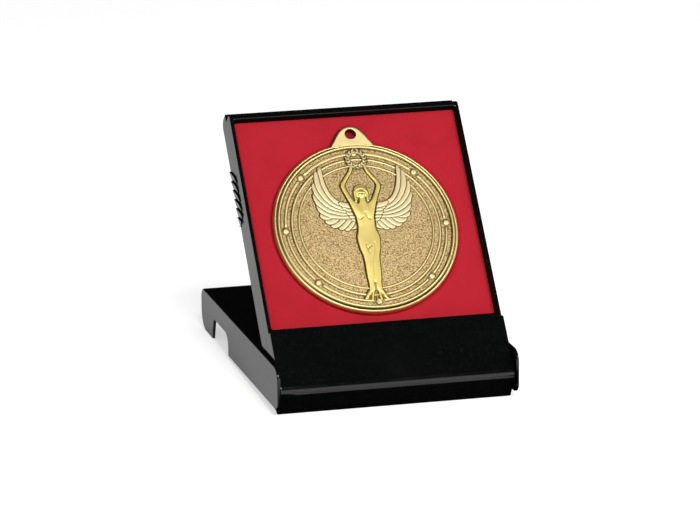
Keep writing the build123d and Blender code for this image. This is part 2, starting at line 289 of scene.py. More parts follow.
# The medal as a turned casting, in millimetres: its centre and its seat from the hinge, radii from its axis
# and heights from its back
medalShape = {
    "centre": 57.6, "seat": 2.2, "radius": 35.0,
    "field": 2.55, "channel": 2.30, "channelStart": 28.35, "channelStep": 0.3, "channelEnd": 32.25,
    "rimStart": 32.55,
    "rimFoot": (0.12, 0.2, 0.04),  # in from the rim's start, rise over the channel there and at its end
    # from the rim's top over a narrow groove to an outer bead and down to the widest place
    "rimProfile": [(32.51, 3.0), (32.59, 3.24), (32.75, 3.4), (33.1, 3.4), (33.35, 3.32), (33.55, 2.98),
                   (33.75, 2.76), (34.0, 2.72), (34.2, 2.8), (34.45, 2.8), (34.75, 2.6), (34.92, 2.3),
                   (35.0, 1.9)],
    "shoulder": [(0.0, 0.6), (0.15, 0.15), (0.5, 0.0)],  # in from the widest place, and height
    "backRings": [24.0, 10.0, 1.0],
    "rings": [(25.35, 0.36, 0.36), (27.95, 0.36, 0.22)], "ringEdge": 0.26,  # middle, half width, height
    "arc": (30.35, 0.46, 0.5), "arcGap": 1.75, "arcTopExtra": 0.16, "arcEdge": 0.32,
    "dots": 8, "dotRing": 30.6, "dotRadius": 1.22, "dotHeight": 0.5, "dotEdge": 0.45, "turn": 0.9,
    "segments": 576, "fieldRings": 145, "coarseRings": 30, "coarseEnd": 24.3,
    # painted shade lines beside the rings: radius, half width, strength
    "lines": [(24.86, 0.13, 0.55), (25.86, 0.15, 0.6), (27.42, 0.13, 0.5), (28.6, 0.2, 0.7),
              (32.35, 0.2, 0.75)],
    # painted shade beside the arcs and the dots: strength, depth where it is darkest, half width; radii of
    # its fading
    "arcLine": (0.6, -0.14, 0.15), "dotLine": (0.75, -0.14, 0.17), "lineLimits": (28.9, 29.2, 31.8, 32.0),
    "rimGroove": (33.86, 0.18, 0.26),  # painted shade in the rim's groove: radius, half width, and how much wider at the bottom
    "warmth": (0.55, 0.6),  # of the raised parts and of the rim
}


def edge(share):
    # a quarter round: sqrt(1 - (1 - share)^2), from 0 at the outline to 1
    return np.sqrt(np.clip(1 - (1 - np.clip(share, 0, 1)) ** 2, 0, 1))


def arcsAndDots(x, t, shape):
    # how deep inside an arc or a dot a place lies, negative outside: its half width or radius, less the
    # distance from its middle; an arc also ends at a gap beside each dot
    radius = np.hypot(x, t)
    angle = np.arctan2(x, t)
    spacing = 2 * pi / shape["dots"]
    toDot = (angle - radians(shape["turn"]) + spacing / 2) % spacing - spacing / 2
    along = np.abs(toDot) * shape["dotRing"]
    middle, half, _ = shape["arc"]
    half = half + shape["arcTopExtra"] * np.clip(np.cos(angle), 0, 1)
    arc = np.minimum(half - np.abs(radius - middle), along - shape["arcGap"])
    dot = shape["dotRadius"] - np.hypot(along, radius - shape["dotRing"])
    return arc, dot


def medalTop(x, t, shape):
    # the field, plus a soft step down to the channel, plus round-edged rings, broken arcs and domed dots
    radius = np.hypot(x, t)
    step = smoothStep(shape["channelStart"], shape["channelStart"] + shape["channelStep"], radius)
    height = shape["field"] + (shape["channel"] - shape["field"]) * step
    for middle, half, rise in shape["rings"]:
        height += rise * edge((half - np.abs(radius - middle)) / shape["ringEdge"])
    arc, dot = arcsAndDots(x, t, shape)
    height += shape["arc"][2] * edge(arc / shape["arcEdge"])
    return height + shape["dotHeight"] * edge(dot / shape["dotEdge"])


def makeMedal(shape):
    # a closed surface of rings about the medal's axis: out over the top, down the shoulder, back under it
    angles = np.arange(shape["segments"]) * 2 * pi / shape["segments"]
    coarse = np.linspace(0.5, shape["coarseEnd"], shape["coarseRings"])
    fine = np.linspace(coarse[-1], shape["channelEnd"] - 0.1, shape["fieldRings"] - len(coarse) + 1)
    inner = np.concatenate([coarse, fine[1:]])
    start, level = shape["rimStart"], shape["channel"]
    foot, rise, least = shape["rimFoot"]
    lift = [(shape["channelEnd"], level + least), (start - foot, level + rise)] + shape["rimProfile"]
    shoulder = [(shape["radius"] - inward, high) for inward, high in shape["shoulder"]]
    rest = lift + shoulder + [(r, 0.0) for r in shape["backRings"]]
    radii = np.concatenate([inner, [r for r, _ in rest]])
    x = radii[:, None] * np.sin(angles)
    t = radii[:, None] * np.cos(angles)
    top = medalTop(x[:len(inner)], t[:len(inner)], shape)
    height = np.concatenate([top, np.repeat([[h] for _, h in rest], len(angles), axis=1)])
    x = np.append(x.ravel(), [0, 0])
    t = np.append(t.ravel(), [0, 0])
    height = np.append(height.ravel(), [shape["field"], 0])
    points = onTray(x, t + shape["centre"], height + shape["seat"])
    radius = np.hypot(x, t)
    arc, dot = arcsAndDots(x, t, shape)
    raised = np.maximum(smoothStep(-0.02, 0.12, arc), smoothStep(-0.02, 0.15, dot))
    for middle, half, _ in shape["rings"]:
        raised = np.maximum(raised, smoothStep(-0.04, 0.1, half - np.abs(radius - middle)))
    polish = np.maximum(raised, smoothStep(start - foot, start + 0.1, radius))
    # painted shade: dark lines at the feet of the arcs, dots and rings and in the rim's groove, where shade
    # falls
    paintedShade = np.zeros(len(radius))
    for depth, (strength, place, width) in ((arc, shape["arcLine"]), (dot, shape["dotLine"])):
        paintedShade = np.maximum(paintedShade, strength * bell(depth, place, width))
    begins, full, fades, ends = shape["lineLimits"]
    paintedShade *= smoothStep(begins, full, radius) * smoothStep(ends, fades, radius)
    for middle, width, strength in shape["lines"]:
        paintedShade = np.maximum(paintedShade, strength * bell(radius, middle, width))
    middle, narrow, wider = shape["rimGroove"]  # painted shade, widest at the bottom where the rim's side is shaded
    width = narrow + wider * smoothStep(-0.4, -1.0, np.cos(np.arctan2(x, t)))
    paintedShade = np.maximum(paintedShade, np.exp(-((radius - middle) / width) ** 4))
    paintedShade *= 1 - 0.9 * raised
    ofRaised, ofRim = shape["warmth"]
    warm = np.maximum(ofRaised * raised, ofRim * smoothStep(start - 0.1, start, radius))
    rows, columns = len(radii), len(angles)
    faces = wrappedQuads(rows, columns)[:, ::-1]
    last = (rows - 1) * columns
    poles = [(rows * columns, 0, columns, -1), (rows * columns + 1, last, columns, 1)]
    return makePiece("medalDisc", points, faces, gold, "tray_body", ["medal"],
                     {"polish": polish, "paintedShade": paintedShade, "warm": warm}, poles)


makeMedal(medalShape)

# The loop at the top of the medal: a broad flat tab with a round hole and softened edges.
# Its outline is given from the top down the right flank, in millimetres from the medal's middle
loopShape = {
    "reach": 38.7, "hole": 2.05, "top": 2.88, "slant": 0.035, "round": 0.75, "holeRound": 0.25, "turn": 0.9,
    "core": 36.5, "footRound": 0.16,  # the core is the place that the bevel leans towards
    "shadePaint": (0.8, 0.5, 0.85), "warm": 0.4,  # painted shade on the hole's wall, at the top of the bevel, below that
    "flank": [(0.0, 42.0), (1.8, 41.72), (2.9, 41.2), (3.95, 40.35), (5.1, 39.0), (6.05, 37.6), (6.85, 36.2),
              (7.75, 34.75), (8.35, 33.85)],
    "foot": 32.9,
}


def curveThrough(points, count=7):
    # Catmull-Rom: (2 b + (c - a) s + (2 a - 5 b + 4 c - d) s^2 + (3 b - 3 c + d - a) s^3) / 2 between b and c
    p = np.array(points, float)
    p = np.concatenate([p[:1], p, p[-1:]])
    a, b, c, d = (p[i:len(p) - 3 + i, None, :] for i in range(4))
    s = (np.arange(count) / count)[None, :, None]
    line = (2 * b + (c - a) * s + (2 * a - 5 * b + 4 * c - d) * s ** 2 + (3 * b - 3 * c + d - a) * s ** 3) / 2
    return np.concatenate([line.reshape(-1, 2), p[-1:]])


def loopOutline(shape):
    # up the right flank, down the left one, which mirrors it, and back along the foot inside the rim
    half = curveThrough(shape["flank"])
    across = np.linspace(-half[-1, 0], half[-1, 0], 16)[1:-1]
    foot = np.stack([across, np.full_like(across, shape["foot"])], axis=-1)
    return np.concatenate([half[::-1], half[1:] * [-1, 1], foot])


def makeLoop(shape, medal):
    # a ring of section curves from the hole's wall over the top to the outline and back beneath;
    # all heights grow by slant / top for each millimetre above the core
    outline = loopOutline(shape)
    inward = [0, shape["core"]] - outline
    inward /= np.linalg.norm(inward, axis=1)[:, None]
    fromHole = outline - [0, shape["reach"]]
    holeLine = fromHole / np.linalg.norm(fromHole, axis=1)[:, None] * shape["hole"] + [0, shape["reach"]]
    outwards = (holeLine - [0, shape["reach"]]) / shape["hole"]
    top, soft, lip, under = shape["top"], shape["round"], shape["holeRound"], shape["footRound"]
    bends = np.radians([0, 22, 45, 68, 90])
    rows = [(holeLine, 0.0)]
    rows += [(holeLine + outwards * lip * (1 - cos(b)), top - lip + lip * sin(b)) for b in bends]
    flat = [holeLine + outwards * lip * 1.4, outline + inward * soft * 1.3]
    rows += [(flat[0], top), (flat[0] * 0.5 + flat[1] * 0.5, top), (flat[1], top)]
    rows += [(outline + inward * soft * (1 - sin(b)), top - soft + soft * cos(b)) for b in bends]
    rows += [(outline, under), (outline + inward * under, 0.0)]
    plan = np.stack([line for line, _ in rows])
    height = np.array([[h] for _, h in rows]) * (1 + shape["slant"] / top * (plan[..., 1] - shape["core"]))
    turn = radians(shape["turn"])
    x = plan[..., 0] * cos(turn) + plan[..., 1] * sin(turn)
    t = plan[..., 1] * cos(turn) - plan[..., 0] * sin(turn)
    points = onTray(x, t + medal["centre"], height + medal["seat"])
    faces = wrappedQuads(len(rows), len(outline), rowWraps=True)
    polish = np.ones(len(points))
    # painted shade on the hole's wall and down the bevel to the foot
    shadePaint = np.zeros(height.shape)
    shadePaint[:2], shadePaint[-5], shadePaint[-4:] = shape["shadePaint"]
    return makePiece("medalLoop", points, faces, gold, "tray_body", (),
                     {"polish": polish, "paintedShade": shadePaint.ravel(), "warm": polish * shape["warm"]})


makeLoop(loopShape, medalShape)
print("medal made")

# The relief: a winged figure that holds up a laurel wreath, in millimetres from the medal's middle.
# Outlines are given on one side and mirrored; a smooth curve runs through their points
figureShape = {
    "box": (-8.6, 8.6, -32.6, 27.0), "step": 0.11, "sunk": 0.35, "skirt": 0.32, "warm": 1.0, "rubbed": 1.0,
    "turn": -2.46, "shift": 0.15, "grown": 0.06,  # the whole relief's turn and shift, the outline's growth
    "outline": [
        (0, 12.8), (1, 12.5), (1.34, 11.4), (1.36, 10.4), (1.55, 9.75), (2.1, 9.6), (2.9, 10.3),
        (3.6, 11.2), (4, 12.1), (4.45, 13.1), (4.9, 14.1), (5.29, 15.1), (5.61, 16.1), (5.77, 17),
        (5.48, 18.1), (4.9, 19.1), (4.25, 20.1), (3.64, 21.1), (2.94, 22.1), (2.42, 23.1), (2.05, 24.2),
        (2, 25.4), (2.7, 25.9), (3.35, 25.2), (3.61, 24.1), (4, 23.1), (4.63, 22.1), (5.32, 21.1),
        (6.07, 20.1), (6.78, 19.1), (7.44, 18.1), (7.74, 17.1), (7.62, 16.1), (7.31, 15.1), (6.93, 14.1),
        (6.52, 13.1), (6.16, 12.1), (5.78, 11.1), (5.41, 10.1), (5.03, 9.1), (4.72, 8.1), (4.4, 7.1),
        (4.15, 6.1), (3.86, 5.1), (3.57, 4.1), (3.44, 3.1), (3.42, 2.1), (3.37, 1.1), (3.34, 0.1),
        (3.48, -0.9), (3.68, -1.9), (3.98, -2.9), (4.29, -3.9), (4.36, -4.9), (4.37, -5.9), (4.31, -6.9),
        (4.15, -7.9), (4, -8.9), (3.79, -9.9), (3.52, -10.9), (3.26, -11.9), (3.15, -12.9), (3.05, -13.9),
        (2.98, -14.9), (2.95, -15.9), (2.92, -16.9), (2.92, -17.9), (2.91, -18.9), (2.86, -19.9),
        (2.81, -20.9), (2.67, -21.9), (2.55, -22.9), (2.49, -23.9), (2.53, -24.9), (2.6, -25.9), (2.2, -27),
        (1.2, -27.2), (0.45, -26.6), (0, -26.3),
    ],
    # where the middle of the body lies, from the feet up, and how high it stands there
    "levels": [-27.0, -16.0, -8.0, 0.0, 6.0, 12.0, 17.0, 25.0],
    "middles": [0.0, 0.08, 0.0, -0.16, -0.32, -0.36, -0.26, -0.18],
    "crowns": [0.72, 0.92, 1.0, 0.95, 1.0, 0.92, 0.78, 0.62],
    "bank": 0.42, "dome": 0.18, "domeReach": 3.1,
    "neck": (9.5, 2.6, 0.14),  # level, half length, how much flatter
    "chest": {"apart": 1.85, "level": 5.0, "half": 1.75, "above": 4.6, "below": 2.1, "rise": 0.06},
    "folds": [
        ([(1.9, -7.0), (1.64, -9.0), (1.1, -11.0), (0.68, -13.0), (0.4, -15.0), (0.22, -17.0), (0.08, -19.0),
          (-0.28, -21.0), (-0.5, -22.4)], 0.24, 0.07, 0.36),
        ([(-0.9, -9.8), (-0.4, -9.0), (0.2, -8.5), (0.8, -8.1)], 0.2, 0.06, 0.75),
        ([(-1.25, -7.3), (-1.25, -8.5), (-0.9, -9.8), (-0.5, -11.0)], 0.2, 0.05, 0.5),
        ([(0.0, -23.0), (-0.05, -24.5), (0.0, -26.5)], 0.42, 0.2, 0.6),
        ([(-2.8, 3.15), (-2.1, 2.95), (-1.5, 3.2), (-1.0, 3.9)], 0.2, 0.10, 0.45),
        ([(0.1, 5.6), (0.3, 4.6), (0.75, 3.6), (1.4, 2.95), (2.1, 3.0)], 0.2, 0.10, 0.3),
    ],  # line, half width, depth, how much shade is painted in it
    # tapered bars: from, to, radius at each end, height at each end
    "feet": [
        ((-1.75, -25.8), (-3.95, -29.2), 1.0, 0.88, 0.72, 0.55),
        ((-1.2, -27.0), (-1.75, -30.0), 0.7, 0.72, 0.66, 0.55),
        ((1.75, -25.8), (4.0, -29.4), 1.0, 0.88, 0.72, 0.55),
        ((1.2, -27.0), (1.75, -29.7), 0.7, 0.68, 0.66, 0.55),
        ((0.0, -28.0), (0.4, -31.2), 0.22, 0.85, 0.4, 0.55),
    ],
    "hair": [
        ((-0.55, 14.3), (-0.55, 14.6), 2.85, 2.75, 0.85, 0.85),
        ((-2.85, 14.4), (-2.8, 10.2), 0.78, 0.62, 0.8, 0.85),
        ((1.75, 14.4), (1.75, 10.4), 0.72, 0.6, 0.8, 0.85),
    ],
    "hairBank": 0.3, "hairCap": 0.85, "hairFlat": 0.65,  # the share of the flat cap under the round locks
    "wave": (0.95, 0.02, 0.16),  # length, height, painted shade in the troughs
    "combedFrom": (-0.55, 12.0, 0.75),  # place, and how flat the waves are
    "face": (-0.42, 13.2, 1.6, 2.3), "crown": 1.0, "jaw": 0.45,  # middle, half width, half length; heights
    # the features lie in shares of the face's half width and half length, from its middle
    "eyes": {"apart": 0.42, "level": 0.10, "half": 0.23, "tall": 0.08, "depth": 0.13, "dark": 4.2},
    "nose": {"half": 0.13, "bridge": (0.12, -0.30), "tip": (-0.38, -0.32), "rise": 0.11},
    "lips": {"levels": (-0.52, -0.64), "half": 0.26, "tall": 0.05, "rise": 0.07},
    "mouth": {"level": -0.58, "half": 0.3, "tall": 0.035, "dark": 0.5},
    "legShade": 0.17, "legFade": (0.0, -12.0), "footShade": 0.3,  # painted shade on the legs and feet
}


justOutside = -0.06  # the depth inside an outline, in millimetres, where the painted shade is darkest


def lineDistance(x, t, lines):
    # the least distance to any of the short straight pieces that the curves are made of
    nearest, reach = np.full(x.shape, 9.0), 1.6  # farther off than the reach, no distance is needed
    for line in lines:
        for (x0, t0), (x1, t1) in zip(line[:-1], line[1:]):
            dx, dt = x1 - x0, t1 - t0
            near = np.abs(x - (x0 + x1) / 2) < reach + abs(dx)
            near &= np.abs(t - (t0 + t1) / 2) < reach + abs(dt)
            u, v = x[near] - x0, t[near] - t0
            k = np.clip((u * dx + v * dt) / (dx * dx + dt * dt + 1e-12), 0, 1)
            nearest[near] = np.minimum(nearest[near], np.hypot(u - k * dx, v - k * dt))
    return nearest


def insideLine(x, t, line):
    # odd number of crossings of a ray towards larger x
    odd = np.zeros(x.shape, bool)
    for (x0, t0), (x1, t1) in zip(line[:-1], line[1:]):
        if t0 != t1:
            odd ^= ((t0 > t) != (t1 > t)) & (x < (x1 - x0) * (t - t0) / (t1 - t0) + x0)
    return odd


def depthInside(x, t, points):
    # signed distance to an open curve, positive inside; the straight line that closes it doesn't count
    line = curveThrough(points)
    away = lineDistance(x, t, [line])
    return np.where(insideLine(x, t, np.concatenate([line, line[:1]])), away, -away)


def skirted(height, depth, skirt):
    # outside the outline a narrow flat skirt just over the ground, then down: 0.03 + 1.6 (depth + skirt)
    return np.where(depth > 0, height, 0.03 + 1.6 * np.minimum(depth + skirt, 0))


def barDepth(x, t, bar):
    # depth inside a tapered round-ended bar, and how high and how thick the bar is beside that place
    (x0, t0), (x1, t1), r0, r1, h0, h1 = bar
    dx, dt = x1 - x0, t1 - t0
    s = np.clip(((x - x0) * dx + (t - t0) * dt) / (dx * dx + dt * dt), 0, 1)
    radius = r0 + (r1 - r0) * s
    return radius - np.hypot(x - x0 - s * dx, t - t0 - s * dt), h0 + (h1 - h0) * s, radius


def barHeight(x, t, bar, skirt=0.28):
    # a round back sqrt(1 - (1 - depth / radius)^2) times its height, with a skirt round it
    depth, high, radius = barDepth(x, t, bar)
    return skirted(high * edge(depth / radius), depth, skirt), depth


def bodyDepth(x, t, shape):
    # the bent middle line, and the depth inside the outline, which is mirrored about it and a little grown
    middle = np.interp(t, shape["levels"], shape["middles"])
    return middle, depthInside(np.abs(x - middle), t, shape["outline"]) + shape["grown"]


def bodyHeight(x, t, shape):
    # crown times ((1 - dome) edge(depth / bank) + dome edge(depth / reach)), a soft dome on a steep bank,
    # plus rise (1 - q^2)^1.5 on each side of the chest, less a bell along each fold
    middle, depth = bodyDepth(x, t, shape)
    crown = np.interp(t, shape["levels"], shape["crowns"])
    neck, length, flatter = shape["neck"]
    dome = shape["dome"] - flatter * bell(t, neck, length)
    height = crown * ((1 - dome) * edge(depth / shape["bank"]) + dome * edge(depth / shape["domeReach"]))
    chest = shape["chest"]
    tall = np.where(t > chest["level"], chest["above"], chest["below"])
    for side in (-1, 1):
        q = np.hypot((x - middle - side * chest["apart"]) / chest["half"], (t - chest["level"]) / tall)
        height += chest["rise"] * np.clip(1 - q ** 2, 0, 1) ** 1.5
    # painted shade along the outline, a painted darker tone on the legs, and painted shade in each fold
    shadePaint = np.maximum(bell(depth, justOutside, 0.24), shape["legShade"] * smoothStep(*shape["legFade"], t))
    for line, width, deep, dark in shape["folds"]:
        crease = bell(lineDistance(x, t, [curveThrough(line)]), 0, width)
        height -= deep * crease
        shadePaint = np.maximum(shadePaint, dark * crease)
    return skirted(height, depth, shape["skirt"]), shadePaint


def faceHeight(x, t, shape):
    # an egg jaw + (crown - jaw) sqrt(1 - q^2.6), with q = 1 at its outline and the chin narrower, and bells
    # on it: two eye hollows, a straight nose and closed lips
    cx, ct, half, tall = shape["face"]
    crown, jaw = shape["crown"], shape["jaw"]
    u, v = (x - cx) / half, (t - ct) / tall
    q = np.hypot(u * (1 - 0.12 * v), v)
    egg = np.where(q < 1, jaw + (crown - jaw) * np.sqrt(np.clip(1 - q ** 2.6, 0, 1)), -1.6 * half * (q - 1))
    eye, nose, lip, mouth = (shape[part] for part in ("eyes", "nose", "lips", "mouth"))
    eyes = eye["depth"] * sum(bell(u, side * eye["apart"], eye["half"]) * bell(v, eye["level"], eye["tall"])
                              for side in (-1, 1))
    ridge = nose["rise"] * bell(u, 0, nose["half"])
    ridge = ridge * smoothStep(*nose["bridge"], v) * smoothStep(*nose["tip"], v)
    upper, lower = (bell(v, level, lip["tall"]) for level in lip["levels"])
    lips = lip["rise"] * bell(u, 0, lip["half"]) * (upper + lower)
    closed = mouth["dark"] * bell(v, mouth["level"], mouth["tall"]) * bell(u, 0, mouth["half"])
    # painted shade round the face, in the eye hollows and along the closed mouth
    shadePaint = np.maximum(0.85 * bell((1 - q) * half, 0, 0.24), eye["dark"] * eyes)
    return np.where(q < 1, egg - eyes + ridge + lips, egg), np.maximum(shadePaint, closed)


def hairHeight(x, t, shape):
    # a cap with round locks on it, and combed waves: a small cosine of the distance from the crown
    height, depth = np.full(x.shape, -9.0), np.full(x.shape, -9.0)
    for lock in shape["hair"]:
        high, deep = barHeight(x, t, lock)
        height, depth = np.maximum(height, high), np.maximum(depth, deep)
    flat = shape["hairFlat"]
    cap = flat * edge(depth / shape["hairBank"]) * shape["hairCap"]
    height = np.where(depth > 0, cap + (1 - flat) * height, height)
    length, swell, dark = shape["wave"]
    cx, ct, flatter = shape["combedFrom"]
    wave = np.cos(np.hypot(x - cx, (t - ct) * flatter) * 2 * pi / length)
    # painted shade in the troughs of the waves and round the hair's outline
    combed = dark * np.clip(-wave, 0, 1) * smoothStep(0.1, 0.3, depth)
    return height + swell * wave * (depth > 0.1), np.maximum(0.65 * bell(depth, justOutside, 0.2), combed)


def over(under, upper):
    # whichever stands higher, and its painted shade
    return np.maximum(under[0], upper[0]), np.where(upper[0] >= under[0], upper[1], under[1])


def figureHeight(x, t, shape):
    # the highest of body, feet, hair and face
    relief = bodyHeight(x, t, shape)
    for foot in shape["feet"]:
        high, depth = barHeight(x, t, foot)
        relief = over(relief, (high, np.maximum(bell(depth, justOutside, 0.22), shape["footShade"])))
    relief = over(relief, hairHeight(x, t, shape))
    return over(relief, faceHeight(x, t, shape))


# One wing: its outline, and the grooves that part its feathers, from the tip feathers down
wingShape = {
    "outline": [
        (2.6, 9.4), (5, 9.8), (7, 10), (8, 10.37), (9, 10.65), (10, 11.42), (10.6, 12), (11.45, 13),
        (11.97, 14), (12.45, 15), (12.82, 16), (13.15, 17), (13.44, 18), (13.61, 19), (13.78, 20),
        (13.87, 21), (13.92, 22), (13.99, 23), (14.05, 24), (14.15, 24.8), (14.5, 25.2), (15, 25.3),
        (15.5, 25.1), (15.85, 24.4), (15.98, 23.4), (16.3, 23.35), (16.85, 23.4), (17.3, 22.9), (17.55, 22),
        (17.64, 21), (17.72, 20), (17.72, 19), (17.8, 18.55), (18.15, 18.6), (18.6, 18.3), (18.88, 17.6),
        (18.95, 16.8), (18.88, 16), (18.65, 15), (18.5, 14.15), (18.75, 14), (19, 13.7), (19.1, 13),
        (18.98, 12), (18.7, 11), (18.35, 10.1), (18.15, 9.5), (18.2, 9), (18.1, 8.1), (17.75, 7.1),
        (17.35, 6.4), (17.05, 5.9), (17.3, 5.3), (17.35, 4.6), (17, 4.05), (16.4, 3.5), (15.75, 3.12),
        (15.72, 2.6), (15.4, 1.95), (15, 1.55), (14.4, 1.12), (13.7, 0.98), (13.6, 0.45), (13.1, -0.15),
        (12.5, -0.45), (12, -0.48), (11.4, -0.36), (10.92, -0.25), (10.85, -0.7), (10.5, -1.15),
        (10, -1.35), (9.5, -1.37), (9, -1.22), (8.6, -1), (8.5, -1.4), (8.05, -1.7), (7.4, -1.78),
        (6.9, -1.64), (6.5, -1.4), (6.15, -1.05), (5.9, -1.2), (5.4, -1.25), (4.8, -1.1), (4.2, -0.95),
        (3.4, -0.4), (2.6, 0),
    ],
    "grooves": [
        [(15.98, 23.4), (15.83, 22), (15.71, 21), (15.56, 20), (15.46, 19), (15.3, 18),
         (15.08, 17), (14.79, 16), (14.42, 15), (13.99, 14), (13.46, 13), (12.85, 12),
         (12.1, 11), (11, 9.89), (10, 9.18), (9, 8.72), (8.5, 8.45)],
        [(17.76, 18.6), (17.6, 18), (17.41, 17), (17.17, 16), (16.77, 15), (16.29, 14),
         (15.79, 13), (15.17, 12), (14.4, 11), (13, 9.53), (12, 8.75), (11, 8.05), (10, 7.58),
         (9, 7.1), (8, 6.93)],
        [(18.48, 14.1), (17.92, 13), (17.36, 12), (16.66, 11), (16, 10.15), (15, 9.09), (14, 8.3),
         (13, 7.63), (12, 7.13), (11, 6.64), (10, 6.33), (9, 5.98), (8, 5.75), (7.1, 5.7)],
        [(18.12, 9.5), (17, 8.52), (16, 7.55), (15, 6.84), (14, 6.24), (13, 5.76), (12, 5.44),
         (11, 5.12), (10, 4.84), (9, 4.7), (8, 4.6), (7, 4.66), (6.5, 4.75)],
        [(17, 6), (16, 5.31), (15, 4.74), (14, 4.22), (13, 3.81), (12, 3.61), (11, 3.49),
         (10, 3.32), (9, 3.32), (8, 3.3), (7, 3.31), (5.8, 3.32)],
        [(15.7, 3.1), (15, 3.06), (14, 3.13), (13.2, 3.3), (12.5, 3.62)],
        [(13.65, 1), (13, 1.12), (12, 1.49), (11, 2.04), (10.4, 2.6), (10, 3.2)],
        [(10.9, -0.2), (10, 0.47), (9, 1.32), (8, 2.27), (7.6, 2.75), (7.3, 3.25)],
        [(8.55, -0.95), (8, -0.46), (7, 0.45), (6, 1.63), (5.6, 2.1), (5.25, 2.6)],
        [(6.15, -1.05), (5.7, -0.6), (5, 0.21), (4.4, 1.1), (4, 2)],
        [(9.1, 10.6), (9.5, 10.1), (9.5, 9.6), (9.1, 9), (8.5, 8.4), (8.4, 7.9), (7.9, 7.35), (7.2, 6.9),
         (7, 6.3), (7.08, 5.8), (6.8, 5.2), (6.35, 4.75), (6.2, 4.2), (5.8, 3.5), (5.5, 3), (5, 2.45),
         (4.2, 2.1), (3, 2.05)],
        [(8.5, 8.35), (7.8, 8.1), (7, 7.88), (6, 7.7), (5, 7.5), (3.6, 7.4)],
        [(7.1, 6.3), (6, 6.2), (5, 6.24), (3.6, 6.3)],
        [(6.5, 4.75), (5.8, 4.72), (5, 4.85), (3.4, 4.8)],
        [(5.9, 3.5), (5, 3.35), (4, 3.45), (3, 3.5)],
    ],
    "rise": 0.62, "bank": 0.4, "groove": 0.36, "cuts": [(0.75, 0.26), (0.25, 0.8)],  # share and half width
    # the crease at the body: how deep, its place as a depth inside the body, half width; its painted shade
    # likewise
    "root": (0.3, -0.12, 0.2), "rootShade": (-0.08, 0.24), "grown": 0.05,
    "edgeShade": (0.9, 0.21), "grooveShade": (0.68, 0.15),  # painted shade at the outline and in the grooves: strength, half width
    "box": (-20.0, 20.0, -2.4, 26.0), "step": 0.11, "sunk": 0.35, "skirt": 0.26, "warm": 0.0, "rubbed": 1.0,
}


def wingsHeight(x, t, shape):
    # rise times edge(depth / bank) times (1 - groove / rise times the cuts), less a bell along the body;
    # the cuts are a narrow and a wide one, each share (1 - edge(away / width))
    side = np.abs(x)
    depth = depthInside(side, t, shape["outline"]) + shape["grown"]
    away = lineDistance(side, t, [curveThrough(line, 4) for line in shape["grooves"]])
    _, body = bodyDepth(x, t, figureShape)
    cut = sum(share * (1 - edge(away / width)) for share, width in shape["cuts"])
    height = shape["rise"] * edge(depth / shape["bank"]) * (1 - shape["groove"] / shape["rise"] * cut)
    deep, place, width = shape["root"]
    height -= deep * bell(body, place, width)
    # painted shade along the outline, at the crease by the body and in the feather grooves
    strength, width = shape["edgeShade"]
    shadePaint = np.maximum(strength * bell(depth, justOutside, width), bell(body, *shape["rootShade"]))
    strength, width = shape["grooveShade"]
    return skirted(height, depth, shape["skirt"]), np.maximum(shadePaint, strength * bell(away, 0, width))


# The laurel wreath: a low ring with two rows of leaves, millimetres and degrees
wreathShape = {
    "centre": (-0.5, 28.2), "ring": 3.25, "ringHalf": 1.15, "ringRise": 0.30, "ringBank": 0.4,
    "leaves": 15, "leaf": (1.2, 0.46), "leafEdge": 0.34, "rise": 0.72,
    "midrib": (0.05, 0.07), "spread": 36.0, "offsets": (-0.52, 0.52),  # the midrib's depth and half width
    # painted shade on the ring between the leaves
    "ringShade": 0.75,
    "leafShade": (0.12, 0.62, 0.45),  # painted shade on a leaf: least, how much more at the edge, and where that starts
    "box": (-5.9, 5.0, 22.8, 33.6), "step": 0.08, "sunk": 0.35, "skirt": 0.15, "warm": 0.1, "rubbed": 0.45,
}


def wreathHeight(x, t, shape):
    # pairs of pointed leaves along a ring, each a dome sqrt(1 - (a / length)^2 - (b / width)^2) with a midrib
    cx, ct = shape["centre"]
    ring = shape["ringHalf"] - np.abs(np.hypot(x - cx, t - ct) - shape["ring"])
    height = skirted(shape["ringRise"] * edge(ring / shape["ringBank"]), ring, shape["skirt"])
    # painted shade: the ring between the leaves dark, each leaf darker towards its edge
    shadePaint = np.full(x.shape, shape["ringShade"])
    least, more, starts = shape["leafShade"]
    long, wide = shape["leaf"]
    low, (deep, thin) = shape["leafEdge"], shape["midrib"]
    for index in range(shape["leaves"]):
        angle = 2 * pi * (index + 0.5) / shape["leaves"]
        flow = 1 if angle < pi else -1  # the leaves point up both sides to the top
        for offset in shape["offsets"]:
            reach = shape["ring"] + offset
            lx, lt = cx + reach * sin(angle), ct + reach * cos(angle)
            lean = angle - flow * pi / 2 + np.sign(offset) * flow * radians(shape["spread"])
            ax, at = sin(lean), cos(lean)
            a = (x - lx) * ax + (t - lt) * at
            b = (x - lx) * at - (t - lt) * ax
            q = np.hypot(a / long, b / (wide * (1 - 0.35 * np.clip(a / long, -1, 1))))
            dome = low + (shape["rise"] - low) * np.sqrt(np.clip(1 - q * q, 0, 1)) - deep * bell(b, 0, thin)
            higher = (q < 1) & (dome > height)
            height = np.where(higher, dome, height)
            shadePaint = np.where(higher, least + more * smoothStep(starts, 1.0, q), shadePaint)
    return height, shadePaint


